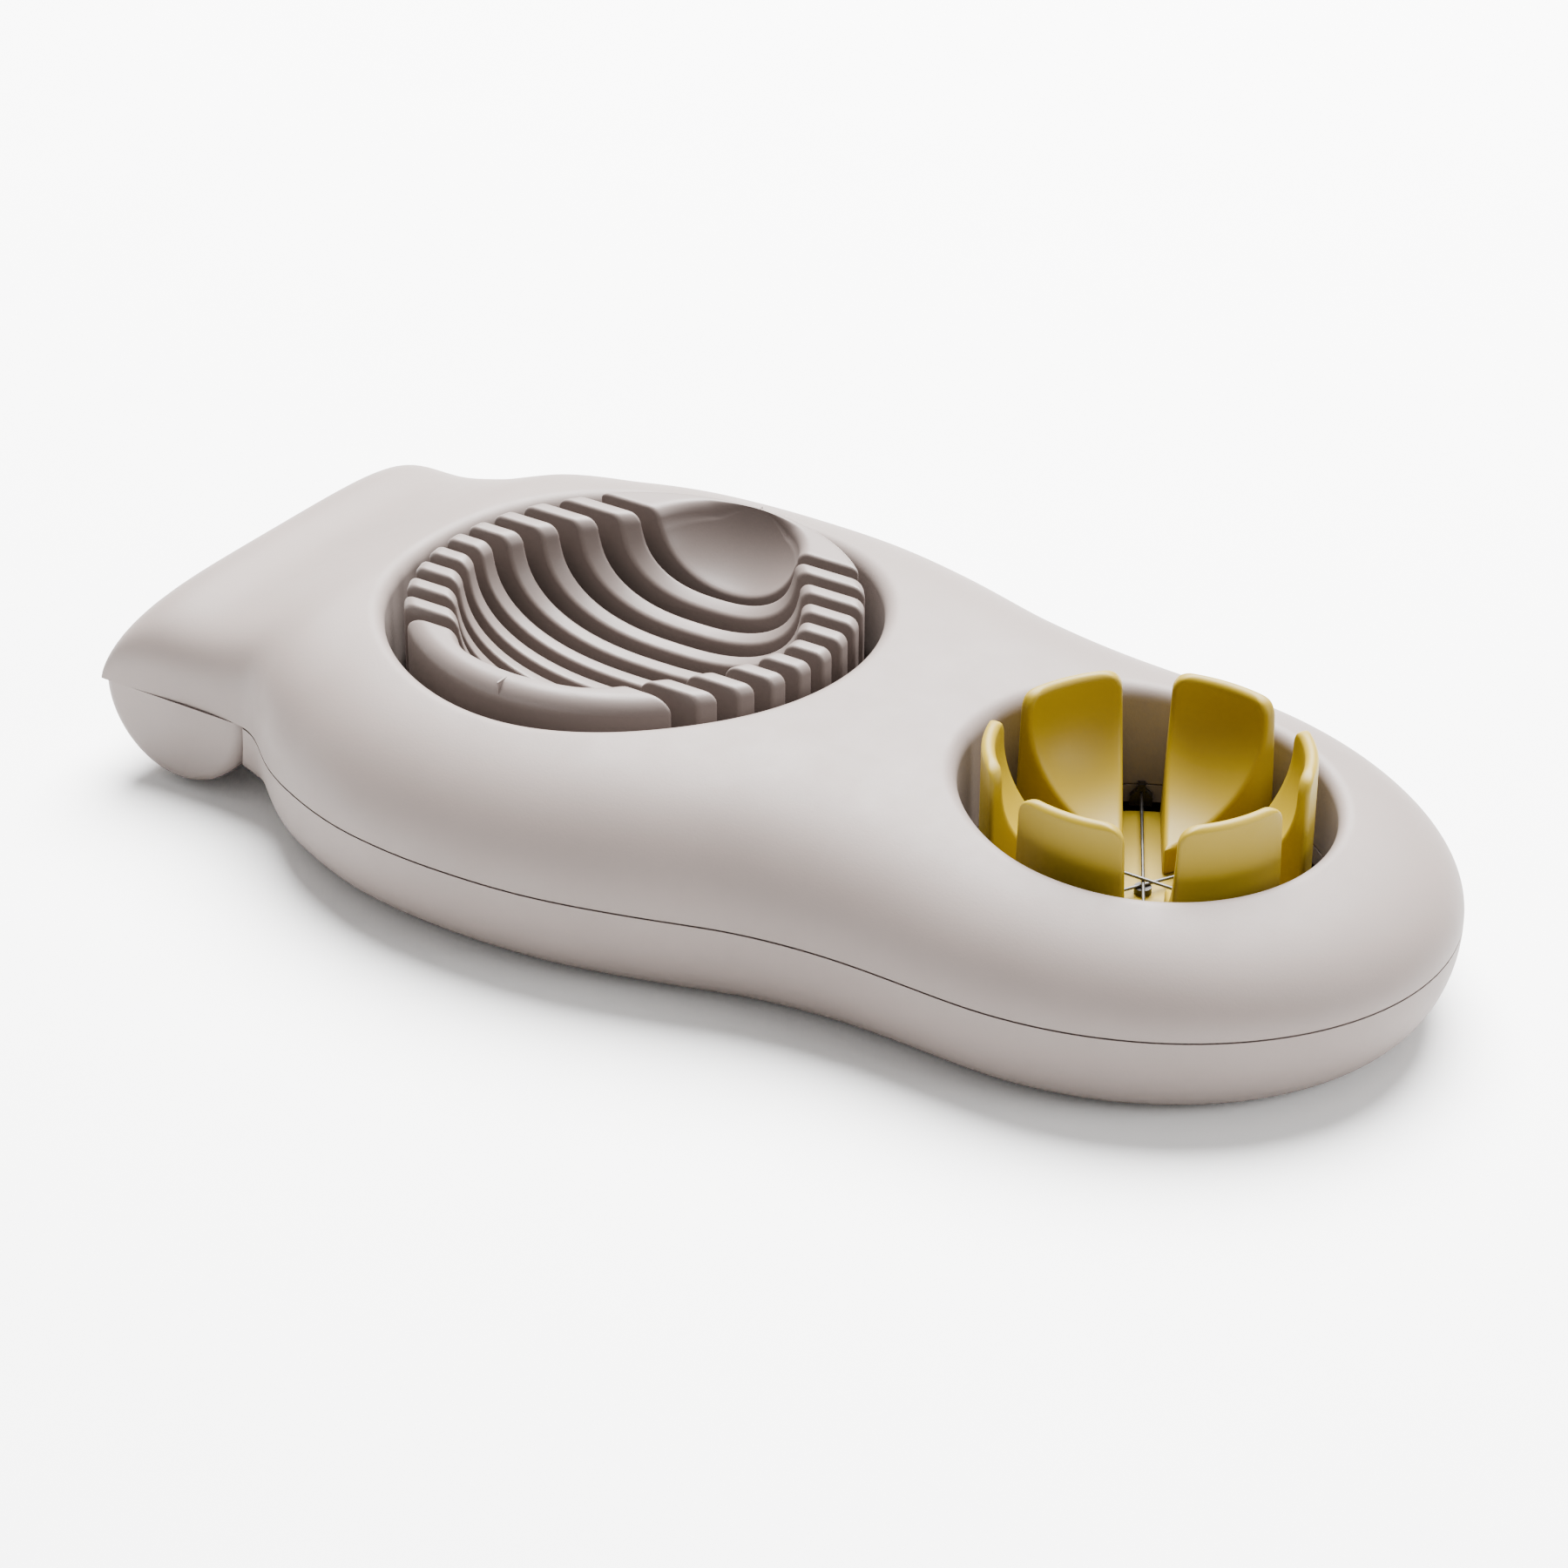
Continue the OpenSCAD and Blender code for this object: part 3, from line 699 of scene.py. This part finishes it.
def carve(thing, cutters, edge):
    """Cuts shapes out of an object and rounds its sharp edges; returns the points and faces."""
    tools = [plain_object(c, "cutter") for c in cutters]
    for tool in tools:
        cut = thing.modifiers.new("cut", "BOOLEAN")
        cut.object = tool
        cut.solver = "EXACT"
    result = thing.evaluated_get(bpy.context.evaluated_depsgraph_get()).to_mesh()
    bm = bmesh.new()
    bm.from_mesh(result)
    for old in tools + [thing]:
        bpy.data.objects.remove(old)
    bmesh.ops.remove_doubles(bm, verts=bm.verts, dist=1e-6)
    sharp = [e for e in bm.edges if e.is_manifold and e.calc_face_angle(0) > math.radians(50)]
    bmesh.ops.bevel(bm, geom=sharp, offset=edge * MM, segments=3, affect="EDGES", clamp_overlap=True)
    shape = Shape()
    shape.points = [[c / MM for c in v.co] for v in bm.verts]
    bm.verts.index_update()
    shape.faces = [[v.index for v in f.verts] for f in bm.faces]
    bm.free()
    return shape


def frame_plate():
    """Flat plate with both openings, the gap for the knuckle and the screws' sinks."""
    xs = spread(HINGE_X, NOSE_TIP - FRAME_INSET - 0.5, 96)
    near = [(x, -half_w(x, FRAME_INSET)) for x in xs]
    far = [(x, half_w(x, FRAME_INSET)) for x in reversed(xs)]
    gap_x = HINGE_X + POCKET_R + WALL + 0.5
    rear_x = REAR_X - 6
    gap = [(rear_x, -BARREL_INNER), (gap_x, -BARREL_INNER), (gap_x, BARREL_INNER),
           (rear_x, BARREL_INNER)]
    above = 30
    cutters = [block(gap, 0, above)]
    cutters.append(block(circle(EGG_X, 0, EGG_OPENING_R, 144), 0, above))
    cutters.append(block(circle(CUP_X, 0, CUP_OPENING_R, 120), 0, above))
    for x, y in LID_SCREWS:
        cutters.append(block(circle(x, y, SINK_R, 40), 0, PLATE_BOTTOM + SINK_DEPTH))
    plate = plain_object(block(near + far, PLATE_BOTTOM, PLATE_TOP), "plate")
    return carve(plate, cutters, PLATE_EDGE)


def barrel_rows(side):
    """Half-round barrel end that hangs below the lid's tail, its outer edge well rounded."""
    ends = [(BARREL_INNER + d, e) for d, e in edge_rows(BARREL_CORNER)]
    ends += [(BARREL_END - d, e) for d, e in reversed(edge_rows(BARREL_ROUND, 8))]
    rows = []
    for y, e in ends:
        r, fall = BARREL_R - e, math.asin((PLATE_TOP - SEAM_Z) / (BARREL_R - e))
        turns = spread(math.pi - fall, 2 * math.pi + fall, 56, "even")
        loop = [(HINGE_X + r * math.cos(a), SEAM_Z + r * math.sin(a)) for a in turns]
        rows.append((side * y, loop))
    return rows


def build_wire_frame():
    shape = frame_plate()
    for side in (1, -1):
        made = [shape.row([(x, y, z) for x, z in loop]) for y, loop in barrel_rows(side)]
        shape.loft(made, closed=True)
        shape.cap(made[0])
        shape.cap(made[-1])
    add_piece(shape, "wire_frame_skin", SHELL, "lid", "wire_frame")


def build_pegs():
    """Domed studs that clamp the ends of the slicing wires, seen from below."""
    shape = Shape()
    dome = [(0.0, PLATE_TOP - 0.2), (PEG_R, PLATE_TOP - 0.2)]
    for i in range(7):
        a = math.pi / 2 * i / 6
        dome.append((PEG_R * math.cos(a), PLATE_BOTTOM - 0.35 * math.sin(a)))
    for i in range(1, WIRE_COUNT + 1):
        y = (i - (WIRE_COUNT + 1) / 2) * RIB_PITCH
        reach = math.sqrt(EGG_OPENING_R**2 - y * y) + ANCHOR
        for side in (-1, 1):
            turn(shape, dome, EGG_X + side * reach, y, 20)
    add_piece(shape, "slicer_wire_pegs_skin", SCREW, "lid", "slicer_wire_pegs")


# ---- CAD pieces that stay ----
def dress(names, material):
    """Gives CAD nodes their finish."""
    for name in names:
        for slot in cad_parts[name].material_slots:
            slot.material = material


# ---- Floor, light and camera ----
def build_stage():
    material, tree, shader = nodes_of("floor")
    paper = noise(tree, 30.0, 4.0)
    tint = ramp(tree, paper.outputs["Fac"], (0.93, 0.93, 0.925), (0.95, 0.95, 0.945))
    tree.links.new(tint.outputs["Color"], shader.inputs["Base Color"])
    shader.inputs["Roughness"].default_value = 0.6
    half = 2.5
    mesh = bpy.data.meshes.new("floor")
    corners = [(-half, -half, 0), (half, -half, 0), (half, half, 0), (-half, half, 0)]
    mesh.from_pydata(corners, [], [(0, 1, 2, 3)])
    mesh.materials.append(material)
    floor = bpy.data.objects.new("floor", mesh)
    bpy.context.scene.collection.objects.link(floor)


def lamp(name, place, aim, size, power):
    data = bpy.data.lights.new(name, "AREA")
    data.shape = "DISK"
    data.size = size
    data.energy = power
    light = bpy.data.objects.new(name, data)
    bpy.context.scene.collection.objects.link(light)
    light.location = place
    light.rotation_euler = (Vector(place) - Vector(aim)).to_track_quat("Z", "Y").to_euler()


def build_lights():
    world = bpy.data.worlds.new("studio")
    world.use_nodes = True
    background = world.node_tree.nodes["Background"]
    background.inputs["Color"].default_value = (1, 1, 1, 1)
    background.inputs["Strength"].default_value = 0.62
    bpy.context.scene.world = world
    lamp("overhead", (-0.25, 0.55, 1.0), (0, 0, 0), 1.1, 150.0)
    lamp("right", (0.9, 0.1, 0.5), (0.03, 0, 0.02), 0.5, 6.0)


def build_camera():
    """Three-quarter view from above, as a person at a table sees the slicer."""
    azimuth, elevation, roll = (math.radians(a) for a in (33.23, 29.74, 0.33))
    distance = 0.698
    aside, above = 0.02275, -0.01103
    back = Vector((math.sin(azimuth) * math.cos(elevation), -math.cos(azimuth) * math.cos(elevation),
                   math.sin(elevation)))
    level = Vector((math.cos(azimuth), math.sin(azimuth), 0))
    upright = back.cross(level)
    right = math.cos(roll) * level + math.sin(roll) * upright
    up = -math.sin(roll) * level + math.cos(roll) * upright
    pivot = Vector((EGG_X, 0, SEAM_Z)) * MM
    data = bpy.data.cameras.new("camera")
    data.lens = 104
    data.sensor_width = 36
    camera = bpy.data.objects.new("camera", data)
    bpy.context.scene.collection.objects.link(camera)
    turned = Matrix((right, up, back)).transposed().to_4x4()
    place = pivot + back * distance + right * aside + up * above
    camera.matrix_world = Matrix.Translation(place) @ turned
    bpy.context.scene.camera = camera


build_camera()
build_stage()
build_lights()
build_lid()
build_wire_frame()
build_pegs()
build_base()
build_cradle()
build_cup()
wires = [f"slicer_wire_{i}" for i in range(1, WIRE_COUNT + 1)]
wires += [f"wedge_wire_{i}" for i in range(1, PETAL_COUNT // 2 + 1)]
# The wires' darkened steel colour is painted shade.
dress(wires, WIRE_PAINTED_DARK)
dress(["hinge_pin", "lid_screws", "cradle_screws", "cup_screws"], SCREW)
# The lugs' near-black finish is painted shade; the hub gets the same near-black finish.
dress(["wire_hub", "wedge_wire_lugs"], DARK_AND_PAINTED_SHADE)
